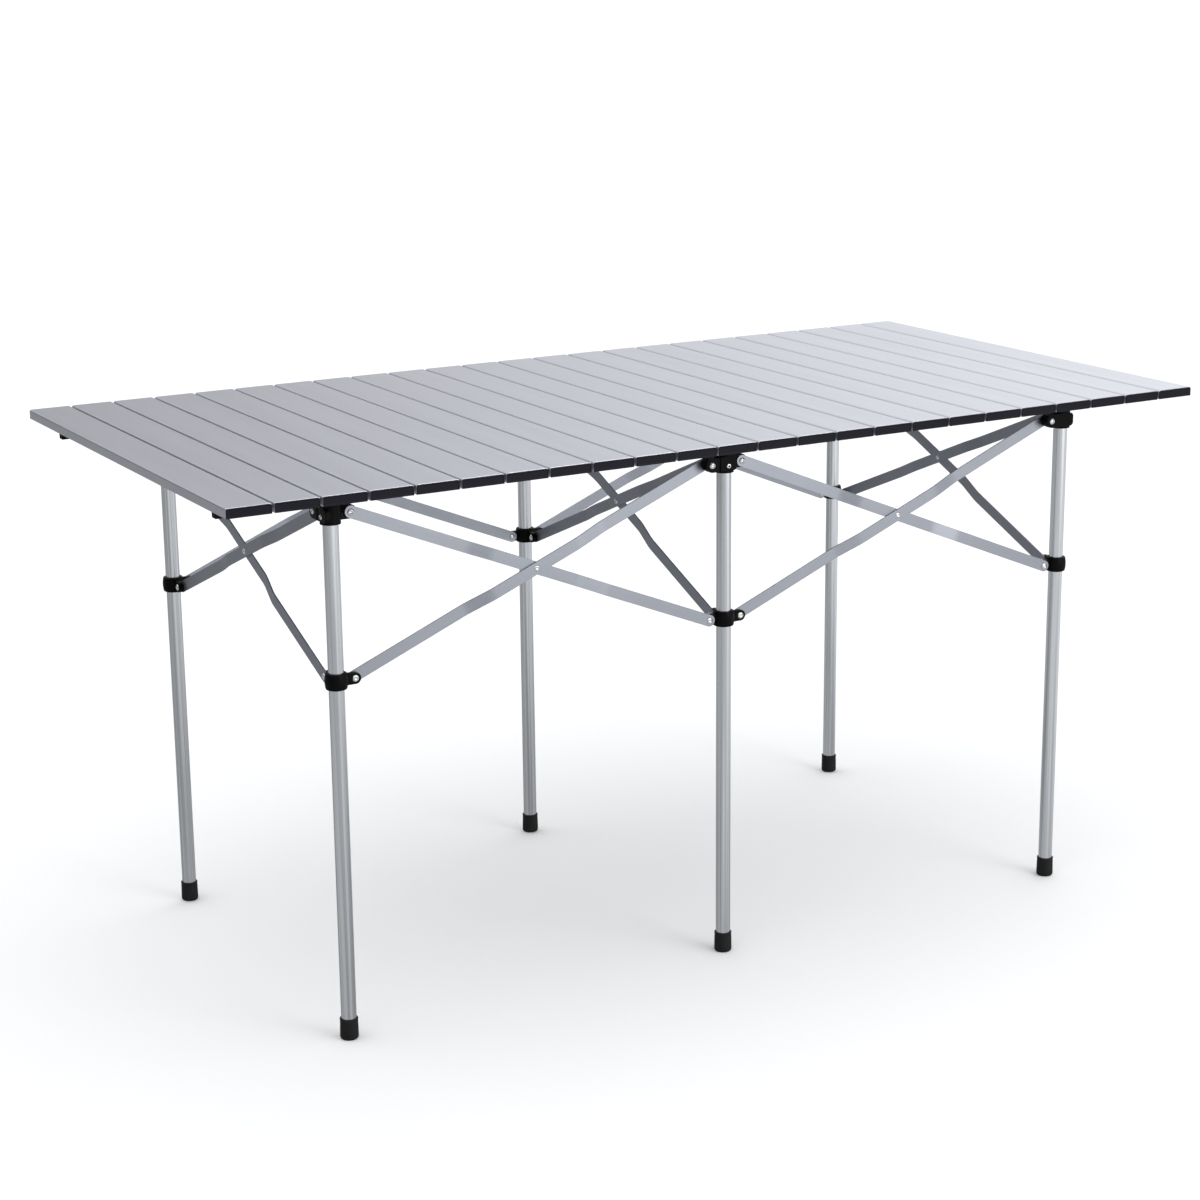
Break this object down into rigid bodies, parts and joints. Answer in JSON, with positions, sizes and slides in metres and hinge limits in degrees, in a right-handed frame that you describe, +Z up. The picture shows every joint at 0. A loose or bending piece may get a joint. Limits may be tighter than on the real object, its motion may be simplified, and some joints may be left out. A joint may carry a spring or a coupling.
{
  "type": "folding roll-top picnic table",
  "caption": "Folding picnic table: a roll-up top of loose aluminium slats on six tube legs joined by scissor braces that gather into a bundle.",
  "frame": {"origin": "middle of the footprint, on the ground", "axes": "+X along the table's length, +Y towards its rear edge, +Z up"},
  "size_m": [1.4, 0.7, 0.7],
  "materials": {
    "slat_aluminium": "satin brushed, lightly anodised",
    "tube_aluminium": "satin drawn tube",
    "bar_aluminium": "satin strip with rolled edges",
    "black_plastic": "moulded, fine texture",
    "end_cap_plastic": "moulded, satin",
    "foot_rubber": "matte",
    "rivet_steel": "bright zinc",
    "elastic_cord": "braided"
  },
  "bodies": {
    "front_left_leg": {"leg_front_left": "tube_aluminium", "bracket_front_left": "black_plastic"},
    "front_middle_leg": {"leg_front_middle": "tube_aluminium", "bracket_front_middle": "black_plastic"},
    "front_right_leg": {"leg_front_right": "tube_aluminium", "bracket_front_right": "black_plastic"},
    "rear_left_leg": {"leg_rear_left": "tube_aluminium", "bracket_rear_left": "black_plastic"},
    "rear_middle_leg": {"leg_rear_middle": "tube_aluminium", "bracket_rear_middle": "black_plastic"},
    "rear_right_leg": {"leg_rear_right": "tube_aluminium", "bracket_rear_right": "black_plastic"},
    "front_left_slider": {"slider_front_left": "black_plastic"},
    "front_middle_slider": {"slider_front_middle": "black_plastic"},
    "front_right_slider": {"slider_front_right": "black_plastic"},
    "rear_left_slider": {"slider_rear_left": "black_plastic"},
    "rear_middle_slider": {"slider_rear_middle": "black_plastic"},
    "rear_right_slider": {"slider_rear_right": "black_plastic"},
    "front_left_rise_bar": {"brace_front_left_rise": "bar_aluminium"},
    "front_left_fall_bar": {"brace_front_left_fall": "bar_aluminium"},
    "front_right_rise_bar": {"brace_front_right_rise": "bar_aluminium"},
    "front_right_fall_bar": {"brace_front_right_fall": "bar_aluminium"},
    "rear_left_rise_bar": {"brace_rear_left_rise": "bar_aluminium"},
    "rear_left_fall_bar": {"brace_rear_left_fall": "bar_aluminium"},
    "rear_right_rise_bar": {"brace_rear_right_rise": "bar_aluminium"},
    "rear_right_fall_bar": {"brace_rear_right_fall": "bar_aluminium"},
    "left_end_rise_bar": {"brace_left_end_rise": "bar_aluminium"},
    "left_end_fall_bar": {"brace_left_end_fall": "bar_aluminium"},
    "right_end_rise_bar": {"brace_right_end_rise": "bar_aluminium"},
    "right_end_fall_bar": {"brace_right_end_fall": "bar_aluminium"},
    "middle_rise_bar": {"brace_middle_rise": "bar_aluminium"},
    "middle_fall_bar": {"brace_middle_fall": "bar_aluminium"},
    "top_slat_24": {"slat_24": "slat_aluminium", "cord_block_front_right": "black_plastic", "cord_block_rear_right": "black_plastic"},
    "top_slat_23": {"slat_23": "slat_aluminium"},
    "top_slat_22": {"slat_22": "slat_aluminium"},
    "top_slat_21": {"slat_21": "slat_aluminium"},
    "top_slat_20": {"slat_20": "slat_aluminium"},
    "top_slat_19": {"slat_19": "slat_aluminium"},
    "top_slat_18": {"slat_18": "slat_aluminium"},
    "top_slat_17": {"slat_17": "slat_aluminium"},
    "top_slat_16": {"slat_16": "slat_aluminium"},
    "top_slat_15": {"slat_15": "slat_aluminium"},
    "top_slat_14": {"slat_14": "slat_aluminium"},
    "top_slat_13": {"slat_13": "slat_aluminium"},
    "top_slat_12": {"slat_12": "slat_aluminium"},
    "top_slat_11": {"slat_11": "slat_aluminium"},
    "top_slat_10": {"slat_10": "slat_aluminium"},
    "top_slat_09": {"slat_09": "slat_aluminium"},
    "top_slat_08": {"slat_08": "slat_aluminium"},
    "top_slat_07": {"slat_07": "slat_aluminium"},
    "top_slat_06": {"slat_06": "slat_aluminium"},
    "top_slat_05": {"slat_05": "slat_aluminium"},
    "top_slat_04": {"slat_04": "slat_aluminium"},
    "top_slat_03": {"slat_03": "slat_aluminium"},
    "top_slat_02": {"slat_02": "slat_aluminium"},
    "top_slat_01": {"slat_01": "slat_aluminium", "cord_block_front_left": "black_plastic", "cord_block_rear_left": "black_plastic"}
  },
  "joints": [
    {"name": "frame_fold", "type": "hinge", "parent": "front_middle_leg", "child": "front_left_rise_bar", "pos_m": [-0.024, -0.2705, 0.66], "axis": [0, -1, 0], "range_deg": [0, 60]},
    {"name": "front_left_crossing", "type": "hinge", "parent": "front_left_rise_bar", "child": "front_left_fall_bar", "pos_m": [-0.2705, -0.2705, 0.5585], "axis": [0, 1, 0], "range_deg": [0, 120]},
    {"name": "front_left_leg_pivot", "type": "hinge", "parent": "front_left_fall_bar", "child": "front_left_leg", "pos_m": [-0.517, -0.2705, 0.66], "axis": [0, -1, 0], "range_deg": [0, 60]},
    {"name": "front_left_slider_pivot", "type": "hinge", "parent": "front_left_rise_bar", "child": "front_left_slider", "pos_m": [-0.517, -0.2705, 0.457], "axis": [0, 1, 0], "range_deg": [0, 60]},
    {"name": "front_middle_slider_pivot", "type": "hinge", "parent": "front_left_fall_bar", "child": "front_middle_slider", "pos_m": [-0.024, -0.2705, 0.457], "axis": [0, -1, 0], "range_deg": [0, 60]},
    {"name": "front_right_fall_pivot", "type": "hinge", "parent": "front_middle_leg", "child": "front_right_fall_bar", "pos_m": [0.024, -0.2705, 0.66], "axis": [0, 1, 0], "range_deg": [0, 60]},
    {"name": "front_right_crossing", "type": "hinge", "parent": "front_right_fall_bar", "child": "front_right_rise_bar", "pos_m": [0.2705, -0.2705, 0.5585], "axis": [0, -1, 0], "range_deg": [0, 120]},
    {"name": "front_right_leg_pivot", "type": "hinge", "parent": "front_right_rise_bar", "child": "front_right_leg", "pos_m": [0.517, -0.2705, 0.66], "axis": [0, 1, 0], "range_deg": [0, 60]},
    {"name": "front_right_slider_pivot", "type": "hinge", "parent": "front_right_fall_bar", "child": "front_right_slider", "pos_m": [0.517, -0.2705, 0.457], "axis": [0, -1, 0], "range_deg": [0, 60]},
    {"name": "middle_rise_pivot", "type": "hinge", "parent": "front_middle_leg", "child": "middle_rise_bar", "pos_m": [0, -0.2465, 0.66], "axis": [-1, 0, 0], "range_deg": [0, 60]},
    {"name": "middle_crossing", "type": "hinge", "parent": "middle_rise_bar", "child": "middle_fall_bar", "pos_m": [0, 0, 0.5585], "axis": [1, 0, 0], "range_deg": [0, 120]},
    {"name": "rear_middle_leg_pivot", "type": "hinge", "parent": "middle_fall_bar", "child": "rear_middle_leg", "pos_m": [0, 0.2465, 0.66], "axis": [-1, 0, 0], "range_deg": [0, 60]},
    {"name": "rear_middle_slider_pivot", "type": "hinge", "parent": "middle_rise_bar", "child": "rear_middle_slider", "pos_m": [0, 0.2465, 0.457], "axis": [1, 0, 0], "range_deg": [0, 60]},
    {"name": "rear_left_fall_pivot", "type": "hinge", "parent": "rear_middle_leg", "child": "rear_left_fall_bar", "pos_m": [-0.024, 0.2705, 0.66], "axis": [0, -1, 0], "range_deg": [0, 60]},
    {"name": "rear_left_crossing", "type": "hinge", "parent": "rear_left_fall_bar", "child": "rear_left_rise_bar", "pos_m": [-0.2705, 0.2705, 0.5585], "axis": [0, 1, 0], "range_deg": [0, 120]},
    {"name": "rear_left_leg_pivot", "type": "hinge", "parent": "rear_left_rise_bar", "child": "rear_left_leg", "pos_m": [-0.517, 0.2705, 0.66], "axis": [0, -1, 0], "range_deg": [0, 60]},
    {"name": "rear_left_slider_pivot", "type": "hinge", "parent": "rear_left_fall_bar", "child": "rear_left_slider", "pos_m": [-0.517, 0.2705, 0.457], "axis": [0, 1, 0], "range_deg": [0, 60]},
    {"name": "rear_right_rise_pivot", "type": "hinge", "parent": "rear_middle_leg", "child": "rear_right_rise_bar", "pos_m": [0.024, 0.2705, 0.66], "axis": [0, 1, 0], "range_deg": [0, 60]},
    {"name": "rear_right_crossing", "type": "hinge", "parent": "rear_right_rise_bar", "child": "rear_right_fall_bar", "pos_m": [0.2705, 0.2705, 0.5585], "axis": [0, -1, 0], "range_deg": [0, 120]},
    {"name": "rear_right_leg_pivot", "type": "hinge", "parent": "rear_right_fall_bar", "child": "rear_right_leg", "pos_m": [0.517, 0.2705, 0.66], "axis": [0, 1, 0], "range_deg": [0, 60]},
    {"name": "rear_right_slider_pivot", "type": "hinge", "parent": "rear_right_rise_bar", "child": "rear_right_slider", "pos_m": [0.517, 0.2705, 0.457], "axis": [0, -1, 0], "range_deg": [0, 60]},
    {"name": "left_end_rise_pivot", "type": "hinge", "parent": "front_left_leg", "child": "left_end_rise_bar", "pos_m": [-0.541, -0.2465, 0.66], "axis": [-1, 0, 0], "range_deg": [0, 60]},
    {"name": "left_end_crossing", "type": "hinge", "parent": "left_end_rise_bar", "child": "left_end_fall_bar", "pos_m": [-0.541, 0, 0.5585], "axis": [1, 0, 0], "range_deg": [0, 120]},
    {"name": "right_end_fall_pivot", "type": "hinge", "parent": "front_right_leg", "child": "right_end_fall_bar", "pos_m": [0.541, -0.2465, 0.66], "axis": [-1, 0, 0], "range_deg": [0, 60]},
    {"name": "right_end_crossing", "type": "hinge", "parent": "right_end_fall_bar", "child": "right_end_rise_bar", "pos_m": [0.541, 0, 0.5585], "axis": [1, 0, 0], "range_deg": [0, 120]},
    {"name": "top_lift", "type": "slide", "parent": "front_middle_leg", "child": "top_slat_24", "axis": [0, 0, 1], "range_m": [0, 0.25]},
    {"name": "top_roll", "type": "hinge", "parent": "top_slat_24", "child": "top_slat_23", "pos_m": [0.64304, 0, 0.7], "axis": [0, 1, 0], "range_deg": [0, 28.5]},
    {"name": "roll_hinge_22", "type": "hinge", "parent": "top_slat_23", "child": "top_slat_22", "pos_m": [0.58458, 0, 0.7], "axis": [0, 1, 0], "range_deg": [0, 29.04]},
    {"name": "roll_hinge_21", "type": "hinge", "parent": "top_slat_22", "child": "top_slat_21", "pos_m": [0.52612, 0, 0.7], "axis": [0, 1, 0], "range_deg": [0, 29.61]},
    {"name": "roll_hinge_20", "type": "hinge", "parent": "top_slat_21", "child": "top_slat_20", "pos_m": [0.46767, 0, 0.7], "axis": [0, 1, 0], "range_deg": [0, 30.21]},
    {"name": "roll_hinge_19", "type": "hinge", "parent": "top_slat_20", "child": "top_slat_19", "pos_m": [0.40921, 0, 0.7], "axis": [0, 1, 0], "range_deg": [0, 30.87]},
    {"name": "roll_hinge_18", "type": "hinge", "parent": "top_slat_19", "child": "top_slat_18", "pos_m": [0.35075, 0, 0.7], "axis": [0, 1, 0], "range_deg": [0, 31.55]},
    {"name": "roll_hinge_17", "type": "hinge", "parent": "top_slat_18", "child": "top_slat_17", "pos_m": [0.29229, 0, 0.7], "axis": [0, 1, 0], "range_deg": [0, 32.29]},
    {"name": "roll_hinge_16", "type": "hinge", "parent": "top_slat_17", "child": "top_slat_16", "pos_m": [0.23383, 0, 0.7], "axis": [0, 1, 0], "range_deg": [0, 33.06]},
    {"name": "roll_hinge_15", "type": "hinge", "parent": "top_slat_16", "child": "top_slat_15", "pos_m": [0.17538, 0, 0.7], "axis": [0, 1, 0], "range_deg": [0, 33.92]},
    {"name": "roll_hinge_14", "type": "hinge", "parent": "top_slat_15", "child": "top_slat_14", "pos_m": [0.11692, 0, 0.7], "axis": [0, 1, 0], "range_deg": [0, 34.83]},
    {"name": "roll_hinge_13", "type": "hinge", "parent": "top_slat_14", "child": "top_slat_13", "pos_m": [0.05846, 0, 0.7], "axis": [0, 1, 0], "range_deg": [0, 35.85]},
    {"name": "roll_hinge_12", "type": "hinge", "parent": "top_slat_13", "child": "top_slat_12", "pos_m": [0, 0, 0.7], "axis": [0, 1, 0], "range_deg": [0, 36.94]},
    {"name": "roll_hinge_11", "type": "hinge", "parent": "top_slat_12", "child": "top_slat_11", "pos_m": [-0.05846, 0, 0.7], "axis": [0, 1, 0], "range_deg": [0, 38.13]},
    {"name": "roll_hinge_10", "type": "hinge", "parent": "top_slat_11", "child": "top_slat_10", "pos_m": [-0.11692, 0, 0.7], "axis": [0, 1, 0], "range_deg": [0, 39.47]},
    {"name": "roll_hinge_09", "type": "hinge", "parent": "top_slat_10", "child": "top_slat_09", "pos_m": [-0.17538, 0, 0.7], "axis": [0, 1, 0], "range_deg": [0, 40.95]},
    {"name": "roll_hinge_08", "type": "hinge", "parent": "top_slat_09", "child": "top_slat_08", "pos_m": [-0.23383, 0, 0.7], "axis": [0, 1, 0], "range_deg": [0, 42.64]},
    {"name": "roll_hinge_07", "type": "hinge", "parent": "top_slat_08", "child": "top_slat_07", "pos_m": [-0.29229, 0, 0.7], "axis": [0, 1, 0], "range_deg": [0, 44.55]},
    {"name": "roll_hinge_06", "type": "hinge", "parent": "top_slat_07", "child": "top_slat_06", "pos_m": [-0.35075, 0, 0.7], "axis": [0, 1, 0], "range_deg": [0, 46.74]},
    {"name": "roll_hinge_05", "type": "hinge", "parent": "top_slat_06", "child": "top_slat_05", "pos_m": [-0.40921, 0, 0.7], "axis": [0, 1, 0], "range_deg": [0, 49.31]},
    {"name": "roll_hinge_04", "type": "hinge", "parent": "top_slat_05", "child": "top_slat_04", "pos_m": [-0.46767, 0, 0.7], "axis": [0, 1, 0], "range_deg": [0, 52.35]},
    {"name": "roll_hinge_03", "type": "hinge", "parent": "top_slat_04", "child": "top_slat_03", "pos_m": [-0.52612, 0, 0.7], "axis": [0, 1, 0], "range_deg": [0, 56.09]},
    {"name": "roll_hinge_02", "type": "hinge", "parent": "top_slat_03", "child": "top_slat_02", "pos_m": [-0.58458, 0, 0.7], "axis": [0, 1, 0], "range_deg": [0, 60.82]},
    {"name": "roll_hinge_01", "type": "hinge", "parent": "top_slat_02", "child": "top_slat_01", "pos_m": [-0.64304, 0, 0.7], "axis": [0, 1, 0], "range_deg": [0, 67.09]}
  ],
  "couplings": [
    {"joint": "front_left_crossing", "follows": "frame_fold", "ratio": 2},
    {"joint": "front_left_leg_pivot", "follows": "frame_fold", "ratio": 1},
    {"joint": "front_left_slider_pivot", "follows": "frame_fold", "ratio": 1},
    {"joint": "front_middle_slider_pivot", "follows": "frame_fold", "ratio": 1},
    {"joint": "front_right_fall_pivot", "follows": "frame_fold", "ratio": 1},
    {"joint": "front_right_crossing", "follows": "frame_fold", "ratio": 2},
    {"joint": "front_right_leg_pivot", "follows": "frame_fold", "ratio": 1},
    {"joint": "front_right_slider_pivot", "follows": "frame_fold", "ratio": 1},
    {"joint": "middle_rise_pivot", "follows": "frame_fold", "ratio": 1},
    {"joint": "middle_crossing", "follows": "frame_fold", "ratio": 2},
    {"joint": "rear_middle_leg_pivot", "follows": "frame_fold", "ratio": 1},
    {"joint": "rear_middle_slider_pivot", "follows": "frame_fold", "ratio": 1},
    {"joint": "rear_left_fall_pivot", "follows": "frame_fold", "ratio": 1},
    {"joint": "rear_left_crossing", "follows": "frame_fold", "ratio": 2},
    {"joint": "rear_left_leg_pivot", "follows": "frame_fold", "ratio": 1},
    {"joint": "rear_left_slider_pivot", "follows": "frame_fold", "ratio": 1},
    {"joint": "rear_right_rise_pivot", "follows": "frame_fold", "ratio": 1},
    {"joint": "rear_right_crossing", "follows": "frame_fold", "ratio": 2},
    {"joint": "rear_right_leg_pivot", "follows": "frame_fold", "ratio": 1},
    {"joint": "rear_right_slider_pivot", "follows": "frame_fold", "ratio": 1},
    {"joint": "left_end_rise_pivot", "follows": "frame_fold", "ratio": 1},
    {"joint": "left_end_crossing", "follows": "frame_fold", "ratio": 2},
    {"joint": "right_end_fall_pivot", "follows": "frame_fold", "ratio": 1},
    {"joint": "right_end_crossing", "follows": "frame_fold", "ratio": 2},
    {"joint": "roll_hinge_22", "follows": "top_roll", "ratio": 1.019},
    {"joint": "roll_hinge_21", "follows": "top_roll", "ratio": 1.039},
    {"joint": "roll_hinge_20", "follows": "top_roll", "ratio": 1.06},
    {"joint": "roll_hinge_19", "follows": "top_roll", "ratio": 1.083},
    {"joint": "roll_hinge_18", "follows": "top_roll", "ratio": 1.107},
    {"joint": "roll_hinge_17", "follows": "top_roll", "ratio": 1.133},
    {"joint": "roll_hinge_16", "follows": "top_roll", "ratio": 1.16},
    {"joint": "roll_hinge_15", "follows": "top_roll", "ratio": 1.19},
    {"joint": "roll_hinge_14", "follows": "top_roll", "ratio": 1.222},
    {"joint": "roll_hinge_13", "follows": "top_roll", "ratio": 1.258},
    {"joint": "roll_hinge_12", "follows": "top_roll", "ratio": 1.296},
    {"joint": "roll_hinge_11", "follows": "top_roll", "ratio": 1.338},
    {"joint": "roll_hinge_10", "follows": "top_roll", "ratio": 1.385},
    {"joint": "roll_hinge_09", "follows": "top_roll", "ratio": 1.437},
    {"joint": "roll_hinge_08", "follows": "top_roll", "ratio": 1.496},
    {"joint": "roll_hinge_07", "follows": "top_roll", "ratio": 1.563},
    {"joint": "roll_hinge_06", "follows": "top_roll", "ratio": 1.64},
    {"joint": "roll_hinge_05", "follows": "top_roll", "ratio": 1.73},
    {"joint": "roll_hinge_04", "follows": "top_roll", "ratio": 1.837},
    {"joint": "roll_hinge_03", "follows": "top_roll", "ratio": 1.968},
    {"joint": "roll_hinge_02", "follows": "top_roll", "ratio": 2.134},
    {"joint": "roll_hinge_01", "follows": "top_roll", "ratio": 2.354}
  ]
}
